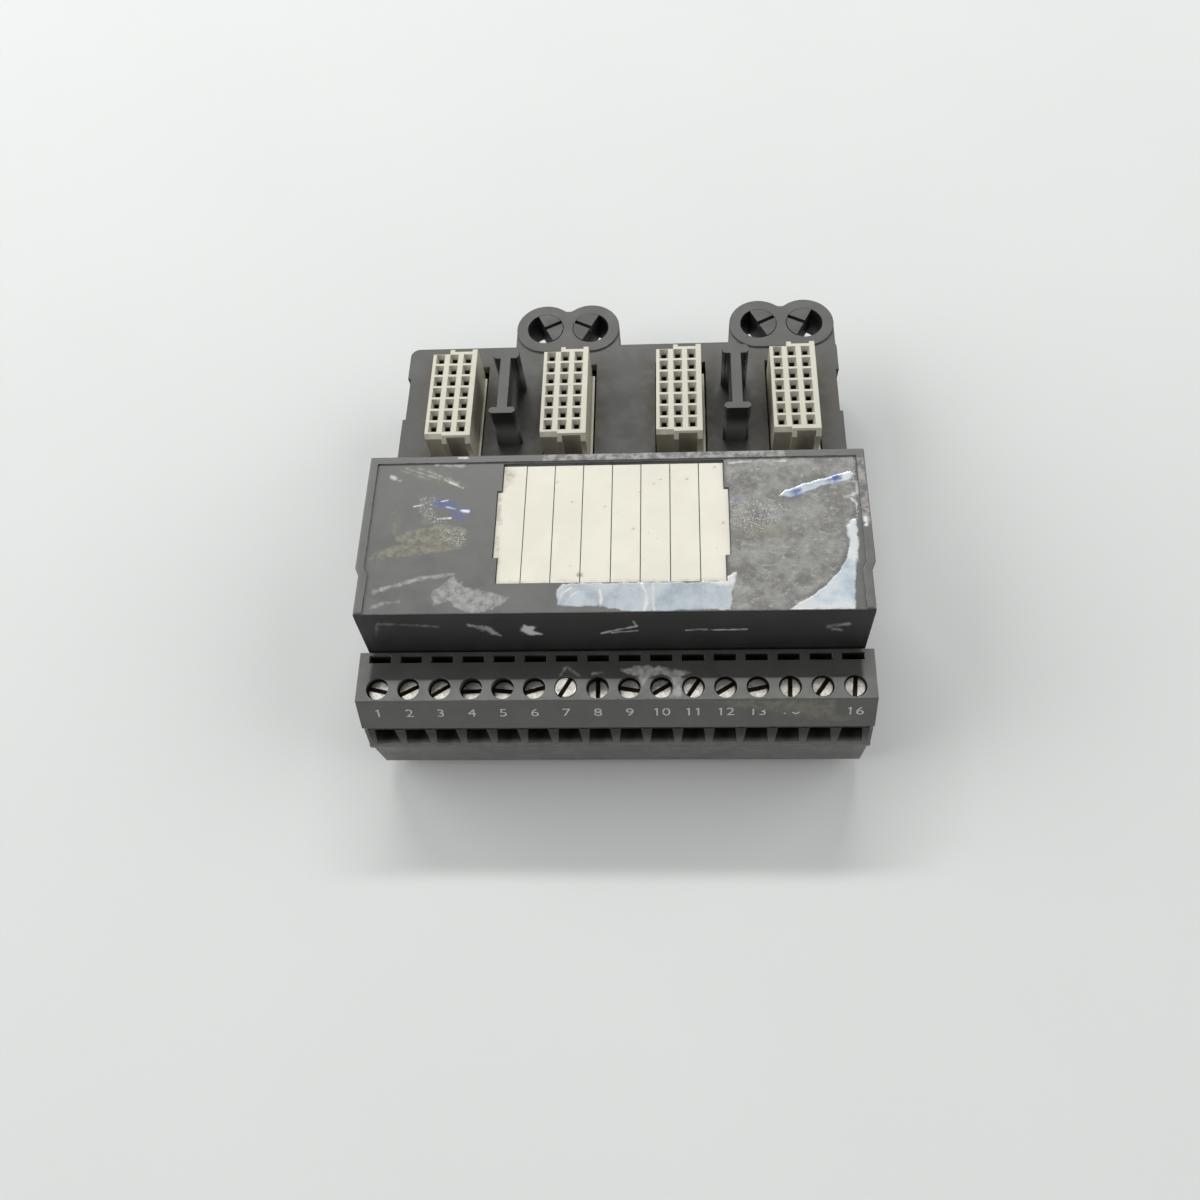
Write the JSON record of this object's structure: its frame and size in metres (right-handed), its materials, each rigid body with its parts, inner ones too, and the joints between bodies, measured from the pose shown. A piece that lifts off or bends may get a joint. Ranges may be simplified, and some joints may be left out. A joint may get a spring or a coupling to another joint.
{
  "type": "terminal block",
  "caption": "Flat plug-in terminal block: a row of screw clamps with wire entries at the front, a raised cover with a label card, and card sockets with guide posts and coding keys behind.",
  "frame": {"origin": "middle of the footprint at the level of the carrier tabs' lower faces", "axes": "+X along the terminal row towards the highest number, +Y from the wire entries to the coding keys, +Z from the carrier to the label"},
  "size_m": [0.083, 0.0884, 0.0314],
  "materials": {
    "housing": "fine matt moulding, worn",
    "strip": "fine matt moulding",
    "socket": "satin moulding",
    "label": "smooth card",
    "board": "lacquered laminate",
    "clamp": "nickel-plated brass, dull",
    "guard": "plated sheet",
    "screw": "nickel-plated, slotted"
  },
  "bodies": {
    "block": {"back_tray": "housing", "socket_plate": "housing", "terminal_cover": "housing", "label_card": "label", "circuit_board": "board", "terminal_strip": "strip", "clamp_bodies": "clamp", "card_socket_1": "socket", "card_socket_2": "socket", "card_socket_3": "socket", "card_socket_4": "socket"},
    "guard_01": {"wire_guard_01": "guard"},
    "screw_01": {"clamp_screw_01": "screw"},
    "guard_02": {"wire_guard_02": "guard"},
    "screw_02": {"clamp_screw_02": "screw"},
    "guard_03": {"wire_guard_03": "guard"},
    "screw_03": {"clamp_screw_03": "screw"},
    "guard_04": {"wire_guard_04": "guard"},
    "screw_04": {"clamp_screw_04": "screw"},
    "guard_05": {"wire_guard_05": "guard"},
    "screw_05": {"clamp_screw_05": "screw"},
    "guard_06": {"wire_guard_06": "guard"},
    "screw_06": {"clamp_screw_06": "screw"},
    "guard_07": {"wire_guard_07": "guard"},
    "screw_07": {"clamp_screw_07": "screw"},
    "guard_08": {"wire_guard_08": "guard"},
    "screw_08": {"clamp_screw_08": "screw"},
    "guard_09": {"wire_guard_09": "guard"},
    "screw_09": {"clamp_screw_09": "screw"},
    "guard_10": {"wire_guard_10": "guard"},
    "screw_10": {"clamp_screw_10": "screw"},
    "guard_11": {"wire_guard_11": "guard"},
    "screw_11": {"clamp_screw_11": "screw"},
    "guard_12": {"wire_guard_12": "guard"},
    "screw_12": {"clamp_screw_12": "screw"},
    "guard_13": {"wire_guard_13": "guard"},
    "screw_13": {"clamp_screw_13": "screw"},
    "guard_14": {"wire_guard_14": "guard"},
    "screw_14": {"clamp_screw_14": "screw"},
    "guard_15": {"wire_guard_15": "guard"},
    "screw_15": {"clamp_screw_15": "screw"},
    "guard_16": {"wire_guard_16": "guard"},
    "screw_16": {"clamp_screw_16": "screw"},
    "key_1": {"key_1": "housing"},
    "key_2": {"key_2": "housing"},
    "key_3": {"key_3": "housing"},
    "key_4": {"key_4": "housing"}
  },
  "joints": [
    {"name": "guard_01_slide", "type": "slide", "parent": "block", "child": "guard_01", "axis": [0, 0, 1], "range_m": [-0.0016, 0.0013]},
    {"name": "screw_01_turn", "type": "hinge", "parent": "guard_01", "child": "screw_01", "pos_m": [-0.0381, -0.03775, 0.02], "axis": [0, 0, 1], "range_deg": [-1152.01, 936.01]},
    {"name": "guard_02_slide", "type": "slide", "parent": "block", "child": "guard_02", "axis": [0, 0, 1], "range_m": [-0.00165, 0.00125]},
    {"name": "screw_02_turn", "type": "hinge", "parent": "guard_02", "child": "screw_02", "pos_m": [-0.03302, -0.03775, 0.02], "axis": [0, 0, 1], "range_deg": [-1188.01, 900.01]},
    {"name": "guard_03_slide", "type": "slide", "parent": "block", "child": "guard_03", "axis": [0, 0, 1], "range_m": [-0.0016, 0.0013]},
    {"name": "screw_03_turn", "type": "hinge", "parent": "guard_03", "child": "screw_03", "pos_m": [-0.02794, -0.03775, 0.02], "axis": [0, 0, 1], "range_deg": [-1152.01, 936.01]},
    {"name": "guard_04_slide", "type": "slide", "parent": "block", "child": "guard_04", "axis": [0, 0, 1], "range_m": [-0.0011, 0.0018]},
    {"name": "screw_04_turn", "type": "hinge", "parent": "guard_04", "child": "screw_04", "pos_m": [-0.02286, -0.03775, 0.02], "axis": [0, 0, 1], "range_deg": [-792.01, 1296.01]},
    {"name": "guard_05_slide", "type": "slide", "parent": "block", "child": "guard_05", "axis": [0, 0, 1], "range_m": [-0.0011, 0.0018]},
    {"name": "screw_05_turn", "type": "hinge", "parent": "guard_05", "child": "screw_05", "pos_m": [-0.01778, -0.03775, 0.02], "axis": [0, 0, 1], "range_deg": [-792.01, 1296.01]},
    {"name": "guard_06_slide", "type": "slide", "parent": "block", "child": "guard_06", "axis": [0, 0, 1], "range_m": [-0.0015, 0.0014]},
    {"name": "screw_06_turn", "type": "hinge", "parent": "guard_06", "child": "screw_06", "pos_m": [-0.0127, -0.03775, 0.02], "axis": [0, 0, 1], "range_deg": [-1080.01, 1008.01]},
    {"name": "guard_07_slide", "type": "slide", "parent": "block", "child": "guard_07", "axis": [0, 0, 1], "range_m": [-0.00285, 0.00005]},
    {"name": "screw_07_turn", "type": "hinge", "parent": "guard_07", "child": "screw_07", "pos_m": [-0.00762, -0.03775, 0.02], "axis": [0, 0, 1], "range_deg": [-2052.01, 36.01]},
    {"name": "guard_08_slide", "type": "slide", "parent": "block", "child": "guard_08", "axis": [0, 0, 1], "range_m": [-0.0013, 0.0016]},
    {"name": "screw_08_turn", "type": "hinge", "parent": "guard_08", "child": "screw_08", "pos_m": [-0.00254, -0.03775, 0.02], "axis": [0, 0, 1], "range_deg": [-936.01, 1152.01]},
    {"name": "guard_09_slide", "type": "slide", "parent": "block", "child": "guard_09", "axis": [0, 0, 1], "range_m": [-0.0015, 0.0014]},
    {"name": "screw_09_turn", "type": "hinge", "parent": "guard_09", "child": "screw_09", "pos_m": [0.00254, -0.03775, 0.02], "axis": [0, 0, 1], "range_deg": [-1080.01, 1008.01]},
    {"name": "guard_10_slide", "type": "slide", "parent": "block", "child": "guard_10", "axis": [0, 0, 1], "range_m": [-0.0016, 0.0013]},
    {"name": "screw_10_turn", "type": "hinge", "parent": "guard_10", "child": "screw_10", "pos_m": [0.00762, -0.03775, 0.02], "axis": [0, 0, 1], "range_deg": [-1152.01, 936.01]},
    {"name": "guard_11_slide", "type": "slide", "parent": "block", "child": "guard_11", "axis": [0, 0, 1], "range_m": [-0.002, 0.0009]},
    {"name": "screw_11_turn", "type": "hinge", "parent": "guard_11", "child": "screw_11", "pos_m": [0.0127, -0.03775, 0.02], "axis": [0, 0, 1], "range_deg": [-1440.01, 648.01]},
    {"name": "guard_12_slide", "type": "slide", "parent": "block", "child": "guard_12", "axis": [0, 0, 1], "range_m": [-0.0017, 0.0012]},
    {"name": "screw_12_turn", "type": "hinge", "parent": "guard_12", "child": "screw_12", "pos_m": [0.01778, -0.03775, 0.02], "axis": [0, 0, 1], "range_deg": [-1224.01, 864.01]},
    {"name": "guard_13_slide", "type": "slide", "parent": "block", "child": "guard_13", "axis": [0, 0, 1], "range_m": [-0.0016, 0.0013]},
    {"name": "screw_13_turn", "type": "hinge", "parent": "guard_13", "child": "screw_13", "pos_m": [0.02286, -0.03775, 0.02], "axis": [0, 0, 1], "range_deg": [-1152.01, 936.01]},
    {"name": "guard_14_slide", "type": "slide", "parent": "block", "child": "guard_14", "axis": [0, 0, 1], "range_m": [-0.002, 0.0009]},
    {"name": "screw_14_turn", "type": "hinge", "parent": "guard_14", "child": "screw_14", "pos_m": [0.02794, -0.03775, 0.02], "axis": [0, 0, 1], "range_deg": [-1440.01, 648.01]},
    {"name": "guard_15_slide", "type": "slide", "parent": "block", "child": "guard_15", "axis": [0, 0, 1], "range_m": [-0.0021, 0.0008]},
    {"name": "screw_15_turn", "type": "hinge", "parent": "guard_15", "child": "screw_15", "pos_m": [0.03302, -0.03775, 0.02], "axis": [0, 0, 1], "range_deg": [-1512.01, 576.01]},
    {"name": "guard_16_slide", "type": "slide", "parent": "block", "child": "guard_16", "axis": [0, 0, 1], "range_m": [-0.00215, 0.00075]},
    {"name": "screw_16_turn", "type": "hinge", "parent": "guard_16", "child": "screw_16", "pos_m": [0.0381, -0.03775, 0.02], "axis": [0, 0, 1], "range_deg": [-1548.01, 540.01]},
    {"name": "key_1_turn", "type": "hinge", "parent": "block", "child": "key_1", "pos_m": [-0.01496, 0.03852, 0.01875], "axis": [0, 0, 1], "continuous": true},
    {"name": "key_2_turn", "type": "hinge", "parent": "block", "child": "key_2", "pos_m": [-0.00613, 0.03852, 0.01875], "axis": [0, 0, 1], "continuous": true},
    {"name": "key_3_turn", "type": "hinge", "parent": "block", "child": "key_3", "pos_m": [0.02661, 0.03852, 0.01875], "axis": [0, 0, 1], "continuous": true},
    {"name": "key_4_turn", "type": "hinge", "parent": "block", "child": "key_4", "pos_m": [0.03546, 0.03852, 0.01875], "axis": [0, 0, 1], "continuous": true}
  ],
  "couplings": [
    {"joint": "screw_01_turn", "follows": "guard_01_slide", "rad_per_m": 12566},
    {"joint": "screw_02_turn", "follows": "guard_02_slide", "rad_per_m": 12566},
    {"joint": "screw_03_turn", "follows": "guard_03_slide", "rad_per_m": 12566},
    {"joint": "screw_04_turn", "follows": "guard_04_slide", "rad_per_m": 12566},
    {"joint": "screw_05_turn", "follows": "guard_05_slide", "rad_per_m": 12566},
    {"joint": "screw_06_turn", "follows": "guard_06_slide", "rad_per_m": 12566},
    {"joint": "screw_07_turn", "follows": "guard_07_slide", "rad_per_m": 12566},
    {"joint": "screw_08_turn", "follows": "guard_08_slide", "rad_per_m": 12566},
    {"joint": "screw_09_turn", "follows": "guard_09_slide", "rad_per_m": 12566},
    {"joint": "screw_10_turn", "follows": "guard_10_slide", "rad_per_m": 12566},
    {"joint": "screw_11_turn", "follows": "guard_11_slide", "rad_per_m": 12566},
    {"joint": "screw_12_turn", "follows": "guard_12_slide", "rad_per_m": 12566},
    {"joint": "screw_13_turn", "follows": "guard_13_slide", "rad_per_m": 12566},
    {"joint": "screw_14_turn", "follows": "guard_14_slide", "rad_per_m": 12566},
    {"joint": "screw_15_turn", "follows": "guard_15_slide", "rad_per_m": 12566},
    {"joint": "screw_16_turn", "follows": "guard_16_slide", "rad_per_m": 12566}
  ]
}
